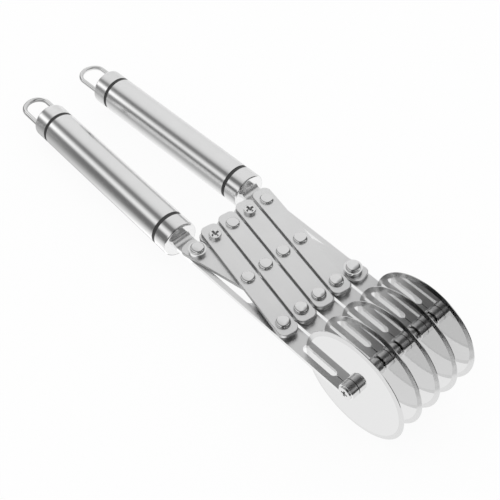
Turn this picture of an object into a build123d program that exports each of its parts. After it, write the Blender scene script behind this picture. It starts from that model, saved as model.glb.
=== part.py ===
from build123d import *
import math
import os

# Expandable pastry cutter: five cutting wheels on parallel arms that a lazy tongs spreads apart.
# Tool frame while modelling: X across the arms, Y from the wheels towards the handles, Z up out of
# the arm plates. Y is 0 on the row of arm rivets, Z is 0 on the underside of the arm plates.
# All sizes are in millimetres.

# Arms and links
ARM_COUNT = 5
ARM_THICKNESS = 2.0
LINK_LENGTH = 58.0
LINK_WIDTH = 9.6
LINK_THICKNESS = 1.8
LINK_SIDE_GAP = 1.2
LINK_END_FLAT = 3.0
LINK_SLIDE_OVERHANG = 7.5
LINK_ARM_OVERHANG = 6.7
SPREAD_ROW_DISTANCE = 21.5
LAYER_GAP = 0.15
EDGE_ROUND = 0.25
CUT_OVERSHOOT = 1.0

# Rivets, slide pins and spacers
PIN_RADIUS = 2.0
RUNNING_CLEARANCE = 0.05
RIVET_HEAD_RADIUS = 3.45
RIVET_HEAD_SIDE = 1.05
RIVET_DOME_HEIGHT = 0.45
RIVET_HEAD_ROUND = 1.2
RIVET_TAIL_RADIUS = 3.3
RIVET_TAIL_HEIGHT = 1.0
FLUSH_TAIL_HEIGHT = 0.7
SLIDER_RADIUS = 2.3
SLIDER_FLANGE_RADIUS = 3.9
SLIDER_FLANGE_HEIGHT = 1.2
SLOT_END_CLEARANCE = 0.3
SPACER_RADIUS = 4.3
SCREW_HEAD_RADIUS = 3.05
SCREW_HEAD_HEIGHT = 1.7
SCREW_HEAD_ROUND = 0.6
CROSS_WIDTH = 1.2
CROSS_DEPTH = 1.3
CROSS_MARGIN = 0.95
SLIDE_NUT_RADIUS = 3.9
SLIDE_NUT_HEIGHT = 2.0
SLIDE_THREAD_RADIUS = 1.6

# Wheels and their axles
WHEEL_RADIUS = 27.5
WHEEL_THICKNESS = 1.0
WHEEL_BEVEL = 2.2
WHEEL_EDGE = 0.3
WHEEL_TIP_CLEARANCE = 1.35
AXLE_RADIUS = 1.75
AXLE_PLAY = 0.15
AXLE_HEAD_RADIUS = 3.4
AXLE_HEAD_HEIGHT = 0.8
AXLE_HEAD_ROUND = 0.4
AXLE_CROSS_WIDTH = 0.9
AXLE_CROSS_DEPTH = 1.4
AXLE_CROSS_MARGIN = 1.7
AXLE_NUT_RADIUS = 2.7
AXLE_NUT_CAP = 0.8
AXLE_STACK_GAP = 0.5

# Forked end of an arm, with the rolled eyes that hold the axle
FORK_REACH = 13.2
FORK_SLOT_WIDTH = 4.2
FOOT_LENGTH = 9.1
EYE_RADIUS = 4.1
EYE_END_ROUND = 0.5

# Handles
HANDLE_HEIGHT = 1.0
HANDLE_TOE_IN = 1.6
FERRULE_OFFSET = 12.4
FERRULE_LENGTH = 8.2
FERRULE_FACE = 1.0
FERRULE_LIP_ROUND = 1.1
TUBE_RADIUS = 9.4
TUBE_WALL = 1.0
TUBE_LENGTH = 89.4
RING_WIDTH = 2.0
RING_RECESS = 0.25
CAP_LENGTH = 8.4
CAP_ROUND = 0.8
CAP_SPIGOT_LENGTH = 12.0
PLUG_DEPTH = 22.0
TANG_LENGTH = 16.0
TANG_RISE = 3.4
TANG_BEND_ANGLE = 50.0
TANG_BEND_RADIUS = 3.5
TANG_BEND_LEAD = 1.3
LOOP_WIRE_RADIUS = 1.2
LOOP_HALF_WIDTH = 6.5
LOOP_REACH = 20.1
LOOP_SEAT_DEPTH = 6.0

# Closed tongs: the links lie side by side
closed_angle = 0.5 * math.asin(2 * (LINK_WIDTH + LINK_SIDE_GAP) / LINK_LENGTH)
closed_pitch = LINK_LENGTH * math.sin(closed_angle)
row_distance = LINK_LENGTH * math.cos(closed_angle)

# Layers, from the arm plates up to the rivet heads
lower_bottom = ARM_THICKNESS + LAYER_GAP
lower_top = lower_bottom + LINK_THICKNESS
upper_bottom = lower_top + LAYER_GAP
upper_top = upper_bottom + LINK_THICKNESS
running_head = upper_top + LAYER_GAP
running_radius = PIN_RADIUS + RUNNING_CLEARANCE
slot_radius = SLIDER_RADIUS + RUNNING_CLEARANCE

# Places along and across the arm; an axle head fits between two closed arms
arm_width = closed_pitch - AXLE_HEAD_HEIGHT - AXLE_STACK_GAP
arm_left = -arm_width / 2
arm_right = arm_width / 2
fork_top = -FORK_REACH
axle_y = fork_top - WHEEL_TIP_CLEARANCE - WHEEL_RADIUS
axle_height = EYE_RADIUS
fork_slot_high = fork_top - FORK_SLOT_WIDTH / 2
fork_slot_low = axle_y + FOOT_LENGTH + FORK_SLOT_WIDTH / 2
wheel_gap = WHEEL_THICKNESS + 2 * AXLE_PLAY

# Places along the handle
ferrule_front = row_distance + FERRULE_OFFSET
front_ring = ferrule_front + FERRULE_LENGTH
tube_front = front_ring + RING_WIDTH
rear_ring = tube_front + TUBE_LENGTH
cap_front = rear_ring + RING_WIDTH
cap_rear = cap_front + CAP_LENGTH
plug_front = ferrule_front + FERRULE_FACE
plug_rear = tube_front + PLUG_DEPTH
tang_end = plug_front + TANG_LENGTH
bend_start = ferrule_front - TANG_BEND_LEAD
tube_bore = TUBE_RADIUS - TUBE_WALL
loop_centre = cap_rear + LOOP_REACH - LOOP_HALF_WIDTH - LOOP_WIRE_RADIUS


def arm_x(number):
    """X of an arm's centre line with the tongs closed; arms are numbered from 1 at the left."""
    return (number - (ARM_COUNT + 1) / 2) * closed_pitch


def upright(radius, bottom, top, x=0.0, y=0.0):
    """A cylinder standing on Z between two heights."""
    body = Cylinder(radius, top - bottom, align=(Align.CENTER, Align.CENTER, Align.MIN))
    return Pos(x, y, bottom) * body


def drill(radius, bottom, top, y):
    """The cutter for an upright hole through a plate."""
    return upright(radius, bottom - CUT_OVERSHOOT, top + CUT_OVERSHOOT, y=y)


def across(radius, left, right):
    """A cylinder along X, on the wheel axle's line, between two places."""
    body = Cylinder(radius, right - left, align=(Align.CENTER, Align.CENTER, Align.MIN))
    return Pos(left, axle_y, axle_height) * Rot(Y=90) * body


def along(radius, front, rear):
    """A cylinder along Y, on the handle's axis, between two places."""
    body = Cylinder(radius, rear - front, align=(Align.CENTER, Align.CENTER, Align.MIN))
    return Pos(0, front, HANDLE_HEIGHT) * Rot(X=-90) * body


def hollow(front, rear):
    """The cutter for the bore that the tube and rings share."""
    return along(tube_bore, front - CUT_OVERSHOOT, rear + CUT_OVERSHOOT)


def bar(half_width, y_low, y_high, bottom, top):
    """A flat bar along Y with round ends, given by the centres of its two ends."""
    outline = Rot(Z=90) * SlotCenterToCenter(y_high - y_low, 2 * half_width)
    return Pos(0, (y_low + y_high) / 2, bottom) * extrude(outline, top - bottom)


def dome_head(bottom):
    """A rivet head, turned on Z: a straight side under a low dome, with a rounded shoulder."""
    side_top = bottom + RIVET_HEAD_SIDE
    peak = side_top + RIVET_DOME_HEIGHT
    shoulder = (RIVET_HEAD_RADIUS, side_top)
    dome = TangentArc((0, peak), shoulder, tangent=(1, 0))
    side = Polyline(shoulder, (RIVET_HEAD_RADIUS, bottom), (0, bottom), (0, peak))
    section = make_face(dome + side)
    section = fillet(section.vertices().sort_by_distance(shoulder)[0], RIVET_HEAD_ROUND)
    return revolve(Rot(X=90) * section, Axis.Z)


def cross_recess(head_radius, margin, width, depth, top):
    """The cross-shaped driver recess in a screw head, cut down from its top."""
    length = 2 * (head_radius - margin)
    centre = Pos(0, 0, top - depth / 2)
    return centre * (Box(length, width, depth) + Box(width, length, depth))


def screw_head(bottom):
    """A low round screw head with a cross recess."""
    top = bottom + SCREW_HEAD_HEIGHT
    head = upright(SCREW_HEAD_RADIUS, bottom, top)
    head = fillet(head.edges().group_by(Axis.Z)[-1], SCREW_HEAD_ROUND)
    return head - cross_recess(SCREW_HEAD_RADIUS, CROSS_MARGIN, CROSS_WIDTH, CROSS_DEPTH, top)


# Arms

def tang():
    """The end of an outer arm, bent up just before it enters the ferrule and level again behind it."""
    slope = math.radians(TANG_BEND_ANGLE)
    run = TANG_RISE / math.tan(slope)
    setback = ARM_THICKNESS * math.tan(slope / 2)
    tang_top = TANG_RISE + ARM_THICKNESS
    inner_corners = ((bend_start, ARM_THICKNESS), (bend_start + run + setback, TANG_RISE))
    outer_corners = ((bend_start + setback, 0), (bend_start + run, tang_top))
    side = make_face(
        Polyline(
            (row_distance, 0),
            outer_corners[0],
            inner_corners[1],
            (tang_end, TANG_RISE),
            (tang_end, tang_top),
            outer_corners[1],
            inner_corners[0],
            (row_distance, ARM_THICKNESS),
            close=True,
        )
    )
    for corners, radius in (
        (inner_corners, TANG_BEND_RADIUS),
        (outer_corners, TANG_BEND_RADIUS + ARM_THICKNESS),
    ):
        bends = [side.vertices().sort_by_distance(corner)[0] for corner in corners]
        side = fillet(bends, radius)
    upright_side = Plane(origin=(0, 0, 0), x_dir=(0, 1, 0), z_dir=(1, 0, 0)) * side
    return extrude(upright_side, amount=arm_width / 2, dir=(1, 0, 0), both=True)


def through_bar(half_width, y_low, y_high):
    """The cutter for a round-ended slot through an arm plate."""
    return bar(half_width, y_low, y_high, -CUT_OVERSHOOT, ARM_THICKNESS + CUT_OVERSHOOT)


def wheel_slit():
    """The cutter for the narrow slit in which the wheel runs between the two feet and eyes."""
    front = axle_y - EYE_RADIUS - CUT_OVERSHOOT
    length = fork_slot_low - front
    height = 2 * EYE_RADIUS + 2 * CUT_OVERSHOOT
    return Pos(0, front + length / 2, EYE_RADIUS) * Box(wheel_gap, length, height)


def make_arm(has_handle):
    """A forked arm with its rivet hole, slide slot and wheel eyes; the outer arms carry the handles."""
    length = row_distance - axle_y
    arm = Pos(0, axle_y + length / 2, ARM_THICKNESS / 2) * Box(arm_width, length, ARM_THICKNESS)
    if has_handle:
        arm += tang()
    else:
        arm += upright(arm_width / 2, 0, ARM_THICKNESS, y=row_distance)
    eyes = across(EYE_RADIUS, arm_left, arm_right)
    arm += fillet(eyes.edges().filter_by(GeomType.CIRCLE), EYE_END_ROUND)
    arm -= across(AXLE_RADIUS, arm_left - CUT_OVERSHOOT, 0)
    arm -= across(AXLE_NUT_RADIUS, 0, arm_right + CUT_OVERSHOOT)
    arm -= wheel_slit()
    arm -= through_bar(FORK_SLOT_WIDTH / 2, fork_slot_low, fork_slot_high)
    arm -= drill(PIN_RADIUS, 0, ARM_THICKNESS, 0)
    slide_low = SPREAD_ROW_DISTANCE - SLOT_END_CLEARANCE
    slide_high = row_distance + SLOT_END_CLEARANCE
    arm -= through_bar(slot_radius, slide_low, slide_high)
    return arm


# Links: made along Y about the middle rivet, then turned to the closed angle

def make_link(bottom, slide_hole, middle_hole, arm_hole):
    """A flat link with its slide hole at the handle end and its arm hole at the wheel end."""
    half = LINK_LENGTH / 2
    top = bottom + LINK_THICKNESS
    whole = LINK_LENGTH + LINK_SLIDE_OVERHANG + LINK_ARM_OVERHANG
    outline = RectangleRounded(LINK_WIDTH, whole, (LINK_WIDTH - LINK_END_FLAT) / 2)
    link = Pos(0, (LINK_SLIDE_OVERHANG - LINK_ARM_OVERHANG) / 2, bottom) * extrude(outline, LINK_THICKNESS)
    link = fillet(link.edges().group_by(Axis.Z)[-1], EDGE_ROUND)
    link -= drill(slide_hole, bottom, top, half)
    link -= drill(middle_hole, bottom, top, 0)
    link -= drill(arm_hole, bottom, top, -half)
    return link


def make_upper_link():
    """An upper link: tight on its slide pin and middle rivet, free on the arm rivet."""
    return make_link(upper_bottom, PIN_RADIUS, PIN_RADIUS, running_radius)


def make_lower_link(number):
    """A lower link, with a recess below for the flush tail of the middle rivet."""
    slide_hole = PIN_RADIUS if number == 1 else running_radius
    link = make_link(lower_bottom, slide_hole, running_radius, running_radius)
    recess_radius = RIVET_TAIL_RADIUS + RUNNING_CLEARANCE
    recess_top = lower_bottom + FLUSH_TAIL_HEIGHT + LAYER_GAP
    return link - upright(recess_radius, lower_bottom - CUT_OVERSHOOT, recess_top)


def place_link(link, number, lean):
    """Turns a link to the closed angle and sets it midway between two arms."""
    x = (arm_x(number) + arm_x(number + 1)) / 2
    return Pos(x, row_distance / 2, 0) * Rot(Z=lean * math.degrees(closed_angle)) * link


# Rivets, slide pins and spacers, on an axis at X 0 and Y 0

def make_middle_rivet():
    """Joins the two links of a pair at their middles; its tail lies flush in the lower link."""
    shank = upright(PIN_RADIUS, lower_bottom, upper_top)
    tail = upright(RIVET_TAIL_RADIUS, lower_bottom, lower_bottom + FLUSH_TAIL_HEIGHT)
    return dome_head(upper_top) + shank + tail


def make_arm_rivet():
    """Fixed in an arm; the links turn on it under its head."""
    shank = upright(PIN_RADIUS, -RIVET_TAIL_HEIGHT, running_head)
    tail = upright(RIVET_TAIL_RADIUS, -RIVET_TAIL_HEIGHT, 0)
    return dome_head(running_head) + shank + tail


def slide_shank():
    """The shank of a slide pin, with the thicker part that runs in the arm's slot."""
    return upright(PIN_RADIUS, 0, upper_top) + upright(SLIDER_RADIUS, -LAYER_GAP, ARM_THICKNESS)


def make_slide_rivet():
    """A riveted slide pin, held below the arm by a flange wider than the slot."""
    flange_bottom = -LAYER_GAP - SLIDER_FLANGE_HEIGHT
    flange = upright(SLIDER_FLANGE_RADIUS, flange_bottom, -LAYER_GAP)
    return dome_head(upper_top) + slide_shank() + flange


def make_slide_screw():
    """A screwed slide pin, whose thread goes on below the slot."""
    thread = upright(SLIDE_THREAD_RADIUS, -LAYER_GAP - SLIDE_NUT_HEIGHT, 0)
    return screw_head(upper_top) + slide_shank() + thread


def make_slide_nut():
    """The six-sided nut below the arm on a slide screw."""
    outline = RegularPolygon(SLIDE_NUT_RADIUS, 6) - Circle(SLIDE_THREAD_RADIUS)
    return Pos(0, 0, -LAYER_GAP - SLIDE_NUT_HEIGHT) * extrude(outline, SLIDE_NUT_HEIGHT)


def make_spacer(bottom, top):
    """A collar that takes the place of a link at an end of the tongs."""
    return upright(SPACER_RADIUS, bottom, top) - drill(PIN_RADIUS, bottom, top, 0)


# Wheel, axle screw and axle nut

def make_wheel():
    """A thin disc, bevelled from both faces to a narrow rim."""
    bore = AXLE_RADIUS + RUNNING_CLEARANCE
    flat = WHEEL_RADIUS - WHEEL_BEVEL
    section = make_face(
        Polyline(
            (-WHEEL_THICKNESS / 2, bore),
            (-WHEEL_THICKNESS / 2, flat),
            (-WHEEL_EDGE / 2, WHEEL_RADIUS),
            (WHEEL_EDGE / 2, WHEEL_RADIUS),
            (WHEEL_THICKNESS / 2, flat),
            (WHEEL_THICKNESS / 2, bore),
            close=True,
        )
    )
    return Pos(0, axle_y, axle_height) * revolve(section, Axis.X)


def make_axle_screw():
    """The axle: a cross-head screw through the left eye and the wheel into the nut."""
    head = Cylinder(AXLE_HEAD_RADIUS, AXLE_HEAD_HEIGHT, align=(Align.CENTER, Align.CENTER, Align.MIN))
    head = fillet(head.edges().group_by(Axis.Z)[-1], AXLE_HEAD_ROUND)
    head = Pos(arm_left, axle_y, axle_height) * Rot(Y=-90) * head
    recess = cross_recess(
        AXLE_HEAD_RADIUS, AXLE_CROSS_MARGIN, AXLE_CROSS_WIDTH, AXLE_CROSS_DEPTH, AXLE_HEAD_HEIGHT
    )
    recess = Pos(arm_left, axle_y, axle_height) * Rot(Y=-90) * recess
    return head + across(AXLE_RADIUS, arm_left, arm_right - AXLE_NUT_CAP) - recess


def make_axle_nut():
    """The closed round nut, set flush in the right eye, that holds the axle screw."""
    nut = across(AXLE_NUT_RADIUS, wheel_gap / 2, arm_right)
    return nut - across(AXLE_RADIUS, 0, arm_right - AXLE_NUT_CAP)


# Handle pieces, on a handle axis at X 0

def make_ferrule():
    """The front collar of a handle, closed by a flat face, before the tang's slot is cut."""
    ferrule = along(TUBE_RADIUS, ferrule_front, front_ring)
    ferrule = fillet(ferrule.edges().group_by(Axis.Y)[0], FERRULE_LIP_ROUND)
    return ferrule - along(tube_bore, plug_front, front_ring + CUT_OVERSHOOT)


def make_tang_plug():
    """The plug that fills the ferrule and the front of the tube, before the tang's seat is cut."""
    return along(tube_bore, plug_front, plug_rear)


def make_handle_tube():
    """The thin-walled grip."""
    return along(TUBE_RADIUS, tube_front, rear_ring) - hollow(tube_front, rear_ring)


def make_rings():
    """The two dark rings between the tube and its end pieces."""
    rings = Part()
    for front in (front_ring, rear_ring):
        band = along(TUBE_RADIUS - RING_RECESS, front, front + RING_WIDTH)
        rings += band - hollow(front, front + RING_WIDTH)
    return rings


def loop_leg(side):
    """One straight leg of the hanging loop, from its seat in the cap to its bend."""
    leg_front = cap_rear - LOOP_SEAT_DEPTH
    leg = Cylinder(LOOP_WIRE_RADIUS, loop_centre - leg_front, align=(Align.CENTER, Align.CENTER, Align.MIN))
    return Pos(side * LOOP_HALF_WIDTH, leg_front, 0) * Rot(X=-90) * leg


def make_hanging_loop():
    """A bent wire loop, lying flat behind the handle."""
    wire = Pos(LOOP_HALF_WIDTH, loop_centre, 0) * Rot(X=90) * Circle(LOOP_WIRE_RADIUS)
    bend = revolve(wire, Axis((0, loop_centre, 0), (0, 0, 1)), 180)
    loop = loop_leg(-1) + loop_leg(1) + bend
    return Pos(0, 0, HANDLE_HEIGHT) * loop


def make_end_cap():
    """The rear cap, with a spigot in the tube and two seats for the loop's legs."""
    cap = along(TUBE_RADIUS, cap_front, cap_rear)
    cap = fillet(cap.edges().group_by(Axis.Y)[-1], CAP_ROUND)
    cap += along(tube_bore, rear_ring - CAP_SPIGOT_LENGTH, cap_front)
    return cap - make_hanging_loop()


# Assembly in the tool frame

def add_tongs(pieces):
    """Arms, links, rivets, slide pins and spacers."""
    for number in range(1, ARM_COUNT + 1):
        outer = number in (1, ARM_COUNT)
        arm_row = Pos(arm_x(number), 0, 0)
        slide_row = Pos(arm_x(number), row_distance, 0)
        pieces[f"arm_{number}"] = arm_row * make_arm(outer)
        pieces[f"arm_rivet_{number}"] = arm_row * make_arm_rivet()
        if number % 2 == 0:
            pieces[f"slide_screw_{number}"] = slide_row * make_slide_screw()
            pieces[f"slide_nut_{number}"] = slide_row * make_slide_nut()
        else:
            pieces[f"slide_rivet_{number}"] = slide_row * make_slide_rivet()
    for number in range(1, ARM_COUNT):
        middle_x = (arm_x(number) + arm_x(number + 1)) / 2
        pieces[f"upper_link_{number}"] = place_link(make_upper_link(), number, -1)
        pieces[f"lower_link_{number}"] = place_link(make_lower_link(number), number, 1)
        pieces[f"middle_rivet_{number}"] = Pos(middle_x, row_distance / 2, 0) * make_middle_rivet()
    first_x = arm_x(1)
    last_x = arm_x(ARM_COUNT)
    last = ARM_COUNT
    pieces["slide_spacer_1"] = Pos(first_x, row_distance, 0) * make_spacer(lower_top, upper_top)
    pieces[f"slide_spacer_{last}"] = Pos(last_x, row_distance, 0) * make_spacer(lower_bottom, upper_bottom)
    pieces["arm_spacer_1"] = Pos(first_x, 0, 0) * make_spacer(ARM_THICKNESS, lower_top)
    pieces[f"arm_spacer_{last}"] = Pos(last_x, 0, 0) * make_spacer(upper_bottom, running_head)


def add_wheels(pieces):
    """One wheel, axle screw and axle nut on each arm."""
    for number in range(1, ARM_COUNT + 1):
        arm_row = Pos(arm_x(number), 0, 0)
        pieces[f"cutting_wheel_{number}"] = arm_row * make_wheel()
        pieces[f"axle_screw_{number}"] = arm_row * make_axle_screw()
        pieces[f"axle_nut_{number}"] = arm_row * make_axle_nut()


def handle_place(side, number):
    """Sets a handle on its arm, turned about the ferrule's front so that the handles lean together."""
    turn = -HANDLE_TOE_IN if side == "left" else HANDLE_TOE_IN
    return Pos(arm_x(number), ferrule_front, 0) * Rot(Z=turn) * Pos(0, -ferrule_front, 0)


def add_handles(pieces):
    """The two handles, on the tangs of the outer arms."""
    for side, number in (("left", 1), ("right", ARM_COUNT)):
        axis = handle_place(side, number)
        pieces[f"ferrule_{side}"] = axis * make_ferrule() - pieces[f"arm_{number}"]
        pieces[f"tang_plug_{side}"] = axis * make_tang_plug() - pieces[f"arm_{number}"]
        pieces[f"handle_tube_{side}"] = axis * make_handle_tube()
        pieces[f"handle_rings_{side}"] = axis * make_rings()
        pieces[f"end_cap_{side}"] = axis * make_end_cap()
        pieces[f"hanging_loop_{side}"] = axis * make_hanging_loop()


def rest_tilt():
    """Angle about X at which the wheels and the rear caps all stand on one level."""
    reach = (cap_rear - CAP_ROUND) - axle_y
    drop = axle_height - (HANDLE_HEIGHT - TUBE_RADIUS + CAP_ROUND)
    span = math.hypot(reach, drop)
    return math.degrees(math.acos((WHEEL_RADIUS - CAP_ROUND) / span) - math.atan2(reach, drop))


def rest_placement(pieces):
    """Lays the tool down: tilted to rest, standing on Z 0, centred on X and Y."""
    tilt = Rot(X=rest_tilt())
    box = Compound([tilt * piece for piece in pieces.values()]).bounding_box()
    return Pos(-box.center().X, -box.center().Y, -box.min.Z) * tilt


tool = {}
add_tongs(tool)
add_wheels(tool)
add_handles(tool)
placement = rest_placement(tool)

os.makedirs("parts", exist_ok=True)
for name, piece in tool.items():
    export_step(placement * piece, f"parts/{name}.step")
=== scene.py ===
import math
import bpy
from mathutils import Matrix, Vector

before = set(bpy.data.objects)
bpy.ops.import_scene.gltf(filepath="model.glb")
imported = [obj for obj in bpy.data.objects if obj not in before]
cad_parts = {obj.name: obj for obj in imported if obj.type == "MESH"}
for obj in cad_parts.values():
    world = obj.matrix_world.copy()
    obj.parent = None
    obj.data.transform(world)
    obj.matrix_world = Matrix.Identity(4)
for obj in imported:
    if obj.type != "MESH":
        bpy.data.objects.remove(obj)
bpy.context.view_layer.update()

# Expandable pastry cutter on a white floor. Lengths are in metres, angles in degrees.

# The tool lies tilted on its wheels and rear caps: this places its plate frame in the row frame
TOOL_ORIGIN = (0.0, -0.064917, 0.020545)
TOOL_TILT = -3.9060
LINK_LEAN = 10.932
AXLE_PLACE = (0.0, -0.106590, 0.0275)
WHEEL_RADIUS = 0.0275
WHEEL_BEVEL = 0.0022

# Camera, in the plate frame
CAMERA_PLACE = (-0.19018, -0.16981, 0.35384)
CAMERA_AZIMUTH = -41.490
CAMERA_ELEVATION = 51.229
CAMERA_ROLL = -1.627
CAMERA_LENS = 69.80
CAMERA_SENSOR = 36.0
CAMERA_NEAREST = 0.01

# Grey levels of the metals and of the rubber rings
ARM_GREY = 0.86
UPPER_LINK_GREY = 0.87
LOWER_LINK_GREY = 0.86
TUBE_GREY = 0.92
COLLAR_GREY = 0.93
CAP_GREY = 0.90
RIVET_GREY = 0.90
# The hanging loops' grey is set below that of the same steel elsewhere: painted shade for the dark
# surroundings the wire reflects
LOOP_GREY = 0.80
NUT_GREY = 0.80
PLUG_GREY = 0.70
WHEEL_GREY = 0.81
BEVEL_GREY = 0.74
RUBBER_GREY = 0.03

# Roughness, each between a smooth and a rough value. The cut edges of the plates have one of their own,
# and the bevel of the wheels adds to theirs.
PLATE_ROUGH = (0.30, 0.36)
LINK_EDGE_ROUGH = 0.45
ARM_EDGE_ROUGH = 0.12
TUBE_ROUGH = (0.17, 0.24)
COLLAR_ROUGH = (0.11, 0.16)
CAP_ROUGH = (0.19, 0.25)
RIVET_ROUGH = (0.05, 0.09)
LOOP_ROUGH = (0.04, 0.07)
NUT_ROUGH = (0.14, 0.20)
PLUG_ROUGH = (0.55, 0.65)
WHEEL_ROUGH = (0.02, 0.05)
BEVEL_ROUGH_ADDED = 0.14
RUBBER_ROUGH = (0.45, 0.60)

# Brush lines per metre along X, Y and Z, with their relief, and a mottle between two shades
PLATE_LINES = (4000.0, 120.0, 4000.0)
TUBE_LINES = (120.0, 5000.0, 120.0)
LINE_DETAIL = 3.0
LINE_BUMP = 0.05
LINE_DEPTH = 0.00004
MOTTLE_SCALE = 90.0
MOTTLE_DARK = 0.96
MOTTLE_LIGHT = 1.03

# Smears on polished steel, with their scale on each piece
SMEAR_DETAIL = 4.0
SMEAR_DARK = 0.95
SMEAR_SPAN = (0.3, 0.7)
COLLAR_SMEARS = 300.0
LOOP_SMEARS = 500.0
RIVET_SMEARS = 700.0

# Polishing rings of the wheels and the blur at the start of their bevel
WHEEL_RINGS = 5000.0
BEVEL_BLUR = 0.0001

# Grain of the rubber rings
RUBBER_GRAIN = 3000.0
RUBBER_LIGHT = 1.5
RUBBER_BUMP = 0.2
RUBBER_DEPTH = 0.00005

# How far a normal has to point up to count as a plate's face, and sideways to count as a link's long side,
# and the painted shade on such a side: its colour is darkened by this factor to stand in for the shade in the
# gaps between the links
FACE_SPAN = (0.35, 0.75)
SIDE_SPAN = (0.75, 0.95)
LINK_SIDE_PAINTED_SHADE = 0.6

# Floor and light
WHITE = (1.0, 1.0, 1.0, 1.0)
FLOOR_HALF = 4.0
FLOOR_COLOUR = (0.9, 0.9, 0.9, 1.0)
FLOOR_GLOW = 0.92
WORLD_STRENGTH = 1.0

# A tent of light and dark cards that only the metal sees. Its level goes by the angle round the tool's
# long axis, from +X up towards +Z, and by the place along that axis.
TENT_RADIUS = 0.14
TENT_FRONT = -0.32
TENT_REAR = 0.5
TENT_START = -8.0
TENT_END = 188.0
TENT_STEP = 4.0
TENT_ROUND = (
    (-8.0, 0.74),
    (40.0, 0.77),
    (75.0, 0.75),
    (84.0, 0.69),
    (95.0, 0.58),
    (107.0, 0.18),
    (122.0, 0.18),
    (138.0, 0.85),
    (146.0, 0.92),
    (152.0, 0.80),
    (162.0, 0.17),
    (176.0, 0.15),
    (188.0, 0.20),
)
TENT_ALONG = (
    (-0.32, 0.10),
    (-0.22, 0.10),
    (-0.19, 1.00),
    (-0.15, 1.00),
    (-0.13, 0.15),
    (-0.05, 0.15),
    (-0.02, 1.00),
    (0.27, 1.00),
    (0.31, 1.60),
    (0.37, 1.60),
    (0.41, 0.50),
    (0.50, 0.50),
)
# The pattern along the tool lies slanted: beyond this angle it moves towards the front by so much per degree
TENT_SLANT = 0.0008
TENT_SLANT_START = 64.0
# Grey cards on the floor, left of the handles and below them, with their levels by the place across
# and by the place along
FLOOR_CARD_LIFT = 0.0003
LEFT_CARD_ACROSS = (
    (-0.14, 0.22),
    (-0.10, 0.39),
    (-0.065, 0.56),
    (-0.045, 0.78),
    (-0.037, 1.00),
    (-0.031, 1.00),
)
LEFT_CARD_ALONG = (
    (0.0, 1.25),
    (0.03, 1.15),
    (0.05, 0.90),
    (0.075, 0.72),
    (0.105, 0.58),
    (0.2, 0.58),
)
# Painted shadow: this card is darker between the handles, where the floor lies in their shade; only the metal
# sees it.
MIDDLE_CARD_ACROSS = (
    (-0.031, 0.60),
    (-0.027, 0.45),
    (-0.012, 0.40),
    (-0.003, 0.60),
    (0.005, 0.76),
    (0.012, 0.92),
    (0.034, 0.95),
    (0.045, 0.82),
    (0.14, 0.78),
)
MIDDLE_CARD_ALONG = (
    (0.0, 1.0),
    (0.2, 1.0),
)


def add_node(tree, kind, **values):
    """A node with its properties set by name."""
    node = tree.nodes.new(kind)
    for name, value in values.items():
        setattr(node, name, value)
    return node


def set_input(node, name, value):
    node.inputs[name].default_value = value


def grey(level):
    return (level, level, level, 1.0)


def empty_material(name):
    """A material with nothing but its output: itself, its tree and the surface socket."""
    material = bpy.data.materials.new(name)
    material.use_nodes = True
    tree = material.node_tree
    tree.nodes.clear()
    output = add_node(tree, "ShaderNodeOutputMaterial")
    return material, tree, output.inputs["Surface"]


def new_metal(name, level):
    """A plain metal material: itself, its tree and its shader."""
    material, tree, surface = empty_material(name)
    shader = add_node(tree, "ShaderNodeBsdfPrincipled")
    tree.links.new(shader.outputs["BSDF"], surface)
    set_input(shader, "Metallic", 1.0)
    set_input(shader, "Base Color", grey(level))
    return material, tree, shader


def mapped(tree, place=(0, 0, 0), turn=(0, 0, 0), scale=(1, 1, 1)):
    """Object coordinates, moved, turned and scaled."""
    coordinates = add_node(tree, "ShaderNodeTexCoord")
    mapping = add_node(tree, "ShaderNodeMapping", vector_type="TEXTURE")
    set_input(mapping, "Location", place)
    set_input(mapping, "Rotation", [math.radians(v) for v in turn])
    tree.links.new(coordinates.outputs["Object"], mapping.inputs["Vector"])
    stretch = add_node(tree, "ShaderNodeVectorMath", operation="MULTIPLY")
    set_input(stretch, 1, scale)
    tree.links.new(mapping.outputs["Vector"], stretch.inputs[0])
    return stretch.outputs["Vector"]


def noise(tree, vector, scale, detail=2.0):
    """Noise between 0 and 1."""
    texture = add_node(tree, "ShaderNodeTexNoise")
    set_input(texture, "Scale", scale)
    set_input(texture, "Detail", detail)
    tree.links.new(vector, texture.inputs["Vector"])
    return texture.outputs["Fac"]


def ranged(tree, value, low, high, start=0.0, end=1.0):
    """A value between start and end, mapped to low and high."""
    node = add_node(tree, "ShaderNodeMapRange")
    set_input(node, "From Min", start)
    set_input(node, "From Max", end)
    set_input(node, "To Min", low)
    set_input(node, "To Max", high)
    tree.links.new(value, node.inputs["Value"])
    return node.outputs["Result"]


def two_values(tree, operation, first, second):
    """A sum, product or other operation on two values, of which the second may be a number."""
    node = add_node(tree, "ShaderNodeMath", operation=operation)
    tree.links.new(first, node.inputs[0])
    if isinstance(second, float):
        set_input(node, 1, second)
    else:
        tree.links.new(second, node.inputs[1])
    return node.outputs["Value"]


def colour_sockets(sockets):
    return [socket for socket in sockets if socket.type == "RGBA"]


def tinted(tree, share, dark, light):
    """A grey between two levels."""
    node = add_node(tree, "ShaderNodeMix", data_type="RGBA")
    first, second = colour_sockets(node.inputs)
    first.default_value = grey(dark)
    second.default_value = grey(light)
    tree.links.new(share, node.inputs[0])
    return colour_sockets(node.outputs)[0]


def blended(tree, share, first, second):
    """A colour between two colours that come from nodes."""
    node = add_node(tree, "ShaderNodeMix", data_type="RGBA")
    colours = colour_sockets(node.inputs)
    tree.links.new(share, node.inputs[0])
    tree.links.new(first, colours[0])
    tree.links.new(second, colours[1])
    return colour_sockets(node.outputs)[0]


def add_bump(tree, shader, height, strength, distance):
    node = add_node(tree, "ShaderNodeBump")
    set_input(node, "Strength", strength)
    set_input(node, "Distance", distance)
    tree.links.new(height, node.inputs["Height"])
    tree.links.new(node.outputs["Normal"], shader.inputs["Normal"])


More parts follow.
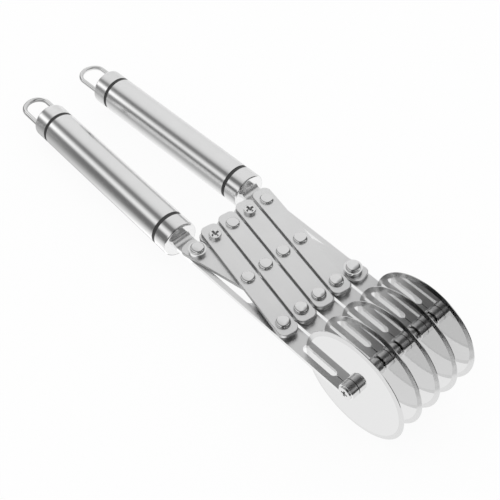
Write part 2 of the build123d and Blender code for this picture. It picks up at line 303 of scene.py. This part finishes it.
def facing(tree, direction, span):
    """0 to 1 over a span of how far the surface points along a direction or against it."""
    coordinates = add_node(tree, "ShaderNodeTexCoord")
    along = add_node(tree, "ShaderNodeVectorMath", operation="DOT_PRODUCT")
    set_input(along, 1, direction)
    tree.links.new(coordinates.outputs["Normal"], along.inputs[0])
    return ranged(tree, two_values(tree, "ABSOLUTE", along.outputs["Value"], 0.0), 0.0, 1.0, span[0], span[1])


def plate_facing(tree):
    """1 on the flat faces of a plate, falling to 0 on its cut edges."""
    tilt = math.radians(TOOL_TILT)
    return facing(tree, (0.0, -math.sin(tilt), math.cos(tilt)), FACE_SPAN)


def long_side(tree, lean):
    """1 on the long cut sides of a link that leans so many degrees, and 0 on its faces and ends."""
    lean = math.radians(lean)
    tilt = math.radians(TOOL_TILT)
    across = (math.cos(lean), math.sin(lean) * math.cos(tilt), math.sin(lean) * math.sin(tilt))
    return facing(tree, across, SIDE_SPAN)


def brushed_metal(name, level, turn, rough, lines=PLATE_LINES, painted_side_shade=1.0, edge_rough=None):
    """Satin steel with fine brush lines along one direction and a faint mottle. A plate may have cut edges
    of their own roughness and long sides darkened with painted shade, which stands in for the shade in the
    gaps between the links."""
    dark = level * MOTTLE_DARK
    light = min(1.0, level * MOTTLE_LIGHT)
    material, tree, shader = new_metal(name, level)
    lined = noise(tree, mapped(tree, turn=turn, scale=lines), 1.0, LINE_DETAIL)
    mottle = noise(tree, mapped(tree), MOTTLE_SCALE)
    colour = tinted(tree, mottle, dark, light)
    # Painted shade: the long sides of a link get a darker colour, for the shade in the gaps between the
    # links.
    if painted_side_shade < 1.0:
        painted_shade_colour = tinted(tree, lined, dark * painted_side_shade, light * painted_side_shade)
        colour = blended(tree, long_side(tree, turn[2]), colour, painted_shade_colour)
    tree.links.new(colour, shader.inputs["Base Color"])
    roughness = ranged(tree, lined, rough[0], rough[1])
    if edge_rough:
        blend = add_node(tree, "ShaderNodeMix", data_type="FLOAT")
        set_input(blend, "A", edge_rough)
        tree.links.new(plate_facing(tree), blend.inputs["Factor"])
        tree.links.new(roughness, blend.inputs["B"])
        roughness = blend.outputs["Result"]
    tree.links.new(roughness, shader.inputs["Roughness"])
    add_bump(tree, shader, lined, LINE_BUMP, LINE_DEPTH)
    return material


def link_metal(name, level, lean):
    """Brushed steel of a link that leans so many degrees."""
    return brushed_metal(
        name,
        level,
        (TOOL_TILT, 0.0, lean),
        PLATE_ROUGH,
        painted_side_shade=LINK_SIDE_PAINTED_SHADE,
        edge_rough=LINK_EDGE_ROUGH,
    )


def polished_metal(name, level, rough, smears):
    """Bright steel with faint smears."""
    material, tree, shader = new_metal(name, level)
    smear = noise(tree, mapped(tree), smears, SMEAR_DETAIL)
    tree.links.new(tinted(tree, smear, level * SMEAR_DARK, level), shader.inputs["Base Color"])
    roughness = ranged(tree, smear, rough[0], rough[1], SMEAR_SPAN[0], SMEAR_SPAN[1])
    tree.links.new(roughness, shader.inputs["Roughness"])
    return material


def wheel_metal():
    """Mirror-polished disc with faint polishing rings and a ground bevel at the rim."""
    material, tree, shader = new_metal("wheel_steel", WHEEL_GREY)
    place = mapped(tree, place=AXLE_PLACE, scale=(0.0, 1.0, 1.0))
    length = add_node(tree, "ShaderNodeVectorMath", operation="LENGTH")
    tree.links.new(place, length.inputs[0])
    radius = length.outputs["Value"]
    ring = add_node(tree, "ShaderNodeCombineXYZ")
    tree.links.new(radius, ring.inputs["X"])
    rings = noise(tree, ring.outputs["Vector"], WHEEL_RINGS)
    edge = WHEEL_RADIUS - WHEEL_BEVEL
    ground = ranged(tree, radius, 0.0, 1.0, edge - BEVEL_BLUR, edge + BEVEL_BLUR)
    tree.links.new(tinted(tree, ground, WHEEL_GREY, BEVEL_GREY), shader.inputs["Base Color"])
    base = ranged(tree, rings, WHEEL_ROUGH[0], WHEEL_ROUGH[1])
    rim = ranged(tree, ground, 0.0, BEVEL_ROUGH_ADDED)
    tree.links.new(two_values(tree, "ADD", base, rim), shader.inputs["Roughness"])
    return material


def dark_rubber():
    """Matt dark rubber with a fine grain."""
    material, tree, shader = new_metal("ring_rubber", RUBBER_GREY)
    set_input(shader, "Metallic", 0.0)
    grain = noise(tree, mapped(tree), RUBBER_GRAIN)
    tree.links.new(tinted(tree, grain, RUBBER_GREY, RUBBER_GREY * RUBBER_LIGHT), shader.inputs["Base Color"])
    tree.links.new(ranged(tree, grain, RUBBER_ROUGH[0], RUBBER_ROUGH[1]), shader.inputs["Roughness"])
    add_bump(tree, shader, grain, RUBBER_BUMP, RUBBER_DEPTH)
    return material


def dress_nodes():
    """Each node takes the material of the first name here that its own name starts with."""
    plate_turn = (TOOL_TILT, 0.0, 0.0)
    arm_steel = brushed_metal("arm_steel", ARM_GREY, plate_turn, PLATE_ROUGH, edge_rough=ARM_EDGE_ROUGH)
    rivet_steel = polished_metal("rivet_steel", RIVET_GREY, RIVET_ROUGH, RIVET_SMEARS)
    material_of = (
        ("arm_rivet", rivet_steel),
        ("arm_spacer", rivet_steel),
        ("arm", arm_steel),
        ("upper_link", link_metal("upper_link_steel", UPPER_LINK_GREY, -LINK_LEAN)),
        ("lower_link", link_metal("lower_link_steel", LOWER_LINK_GREY, LINK_LEAN)),
        ("slide", rivet_steel),
        ("middle_rivet", rivet_steel),
        ("cutting_wheel", wheel_metal()),
        ("axle", polished_metal("nut_steel", NUT_GREY, NUT_ROUGH, RIVET_SMEARS)),
        ("ferrule", polished_metal("collar_steel", COLLAR_GREY, COLLAR_ROUGH, COLLAR_SMEARS)),
        ("end_cap", polished_metal("cap_steel", CAP_GREY, CAP_ROUGH, COLLAR_SMEARS)),
        ("handle_tube", brushed_metal("tube_steel", TUBE_GREY, plate_turn, TUBE_ROUGH, lines=TUBE_LINES)),
        ("handle_rings", dark_rubber()),
        ("tang_plug", polished_metal("plug_steel", PLUG_GREY, PLUG_ROUGH, LOOP_SMEARS)),
        ("hanging_loop", polished_metal("loop_steel", LOOP_GREY, LOOP_ROUGH, LOOP_SMEARS)),
    )
    for node_name, node_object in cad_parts.items():
        for prefix, material in material_of:
            if node_name.startswith(prefix):
                for material_slot in node_object.material_slots:
                    material_slot.material = material
                break


def stage_mesh(name, corners, faces, material):
    """A stage object made of flat faces."""
    mesh = bpy.data.meshes.new(name)
    mesh.from_pydata(corners, [], faces)
    mesh.materials.append(material)
    stage_object = bpy.data.objects.new(name, mesh)
    bpy.context.scene.collection.objects.link(stage_object)
    return stage_object


def seen_rays(tree):
    """1 for camera, glossy and transmission rays, otherwise 0."""
    path = add_node(tree, "ShaderNodeLightPath")
    first = two_values(tree, "MAXIMUM", path.outputs["Is Camera Ray"], path.outputs["Is Glossy Ray"])
    return two_values(tree, "MAXIMUM", first, path.outputs["Is Transmission Ray"])


def floor_material():
    """A white floor that still keeps a soft shadow."""
    material, tree, surface = empty_material("floor_white")
    matt = add_node(tree, "ShaderNodeBsdfDiffuse")
    set_input(matt, "Color", FLOOR_COLOUR)
    glow = add_node(tree, "ShaderNodeEmission")
    set_input(glow, "Color", WHITE)
    blend = add_node(tree, "ShaderNodeMixShader")
    tree.links.new(two_values(tree, "MULTIPLY", seen_rays(tree), FLOOR_GLOW), blend.inputs["Fac"])
    tree.links.new(matt.outputs["BSDF"], blend.inputs[1])
    tree.links.new(glow.outputs["Emission"], blend.inputs[2])
    tree.links.new(blend.outputs["Shader"], surface)
    return material


def add_floor():
    """A large square below the tool."""
    half = FLOOR_HALF
    corners = [(-half, -half, 0), (half, -half, 0), (half, half, 0), (-half, half, 0)]
    stage_mesh("floor", corners, [(0, 1, 2, 3)], floor_material())


def stepped_level(tree, value, stops):
    """A level that runs straight from stop to stop."""
    low = stops[0][0]
    high = stops[-1][0]
    ramp = add_node(tree, "ShaderNodeValToRGB")
    elements = ramp.color_ramp.elements
    while len(elements) < len(stops):
        elements.new(0.5)
    for element, (place, level) in zip(elements, stops):
        element.position = (place - low) / (high - low)
        element.color = grey(level)
    tree.links.new(ranged(tree, value, 0.0, 1.0, low, high), ramp.inputs["Fac"])
    return ramp.outputs["Color"]


def glow_material(name):
    """A glowing material: itself, its tree and its emission shader."""
    material, tree, surface = empty_material(name)
    glow = add_node(tree, "ShaderNodeEmission")
    tree.links.new(glow.outputs["Emission"], surface)
    return material, tree, glow


def placed(tree, origin=(0, 0, 0)):
    """X, Y and Z of the surface, counted from an origin."""
    place = add_node(tree, "ShaderNodeSeparateXYZ")
    tree.links.new(mapped(tree, place=origin), place.inputs["Vector"])
    return place.outputs["X"], place.outputs["Y"], place.outputs["Z"]


def full_turn(tree, x, z):
    """The angle from +X towards +Z in degrees, from -90 to 270."""
    angle = two_values(tree, "ARCTAN2", z, x)
    whole = add_node(tree, "ShaderNodeMath", operation="WRAP")
    set_input(whole, 1, 2 * math.pi)
    set_input(whole, 2, 0.0)
    tree.links.new(two_values(tree, "ADD", angle, math.pi / 2), whole.inputs[0])
    return ranged(tree, whole.outputs["Value"], -90.0, 270.0, 0.0, 2 * math.pi)


def tent_material():
    """Light and dark bands round the tool and along it."""
    material, tree, glow = glow_material("tent")
    x, y, z = placed(tree, TOOL_ORIGIN)
    degrees = full_turn(tree, x, z)
    shift = two_values(tree, "MULTIPLY", two_values(tree, "SUBTRACT", degrees, TENT_SLANT_START), TENT_SLANT)
    shift = two_values(tree, "MAXIMUM", shift, 0.0)
    along = two_values(tree, "ADD", two_values(tree, "ADD", y, TOOL_ORIGIN[1]), shift)
    level_round = stepped_level(tree, degrees, TENT_ROUND)
    level_along = stepped_level(tree, along, TENT_ALONG)
    tree.links.new(two_values(tree, "MULTIPLY", level_round, level_along), glow.inputs["Color"])
    return material


def floor_card_material(name, across, along):
    """Grey that changes across the tool and along it."""
    material, tree, glow = glow_material(name)
    x, y = placed(tree)[:2]
    level_across = stepped_level(tree, x, across)
    level_along = stepped_level(tree, y, along)
    tree.links.new(two_values(tree, "MULTIPLY", level_across, level_along), glow.inputs["Color"])
    return material


def only_in_metal(card):
    """The card shows in reflections and nowhere else."""
    card.visible_camera = False
    card.visible_diffuse = False
    card.visible_transmission = False
    card.visible_volume_scatter = False
    card.visible_shadow = False


def add_tent():
    """A half cylinder round the tool's long axis, closed in front and behind."""
    steps = round((TENT_END - TENT_START) / TENT_STEP)
    corners = []
    faces = []
    for i in range(steps + 1):
        angle = math.radians(TENT_START + (TENT_END - TENT_START) * i / steps)
        x = TENT_RADIUS * math.cos(angle)
        z = TOOL_ORIGIN[2] + TENT_RADIUS * math.sin(angle)
        corners += [(x, TENT_FRONT, z), (x, TENT_REAR, z)]
        if i:
            faces.append((2 * i - 2, 2 * i - 1, 2 * i + 1, 2 * i))
    for end in (0, 1):
        faces.append(tuple(2 * i + end for i in range(steps + 1)))
    only_in_metal(stage_mesh("tent", corners, faces, tent_material()))


def add_floor_card(name, across, along):
    """A flat card that covers the places named in its levels."""
    left, right = across[0][0], across[-1][0]
    front, rear = along[0][0], along[-1][0]
    corners = []
    for x, y in ((left, front), (right, front), (right, rear), (left, rear)):
        corners.append((x, y, FLOOR_CARD_LIFT))
    only_in_metal(stage_mesh(name, corners, [(0, 1, 2, 3)], floor_card_material(name, across, along)))


def add_world():
    """Even white light from all sides."""
    world = bpy.data.worlds.new("white_room")
    world.use_nodes = True
    bpy.context.scene.world = world
    background = world.node_tree.nodes["Background"]
    set_input(background, "Color", WHITE)
    set_input(background, "Strength", WORLD_STRENGTH)


def add_camera():
    """The photo's camera, given in the plate frame and tilted with the tool."""
    azimuth = math.radians(CAMERA_AZIMUTH)
    elevation = math.radians(CAMERA_ELEVATION)
    roll = math.radians(CAMERA_ROLL)
    level = math.cos(elevation)
    back = Vector((math.sin(azimuth) * level, -math.cos(azimuth) * level, math.sin(elevation)))
    right = Vector((math.cos(azimuth), math.sin(azimuth), 0.0))
    up = back.cross(right)
    camera_x = math.cos(roll) * right + math.sin(roll) * up
    camera_y = -math.sin(roll) * right + math.cos(roll) * up
    turn = Matrix((camera_x, camera_y, back)).transposed().to_4x4()
    lay_down = Matrix.Translation(TOOL_ORIGIN) @ Matrix.Rotation(math.radians(TOOL_TILT), 4, "X")
    data = bpy.data.cameras.new("camera")
    data.lens = CAMERA_LENS
    data.sensor_width = CAMERA_SENSOR
    data.clip_start = CAMERA_NEAREST
    camera = bpy.data.objects.new("camera", data)
    camera.matrix_world = lay_down @ Matrix.Translation(CAMERA_PLACE) @ turn
    bpy.context.scene.collection.objects.link(camera)
    bpy.context.scene.camera = camera


dress_nodes()
add_floor()
add_tent()
add_floor_card("left_card", LEFT_CARD_ACROSS, LEFT_CARD_ALONG)
add_floor_card("middle_card", MIDDLE_CARD_ACROSS, MIDDLE_CARD_ALONG)
add_world()
add_camera()
bpy.context.scene.view_settings.view_transform = "Standard"
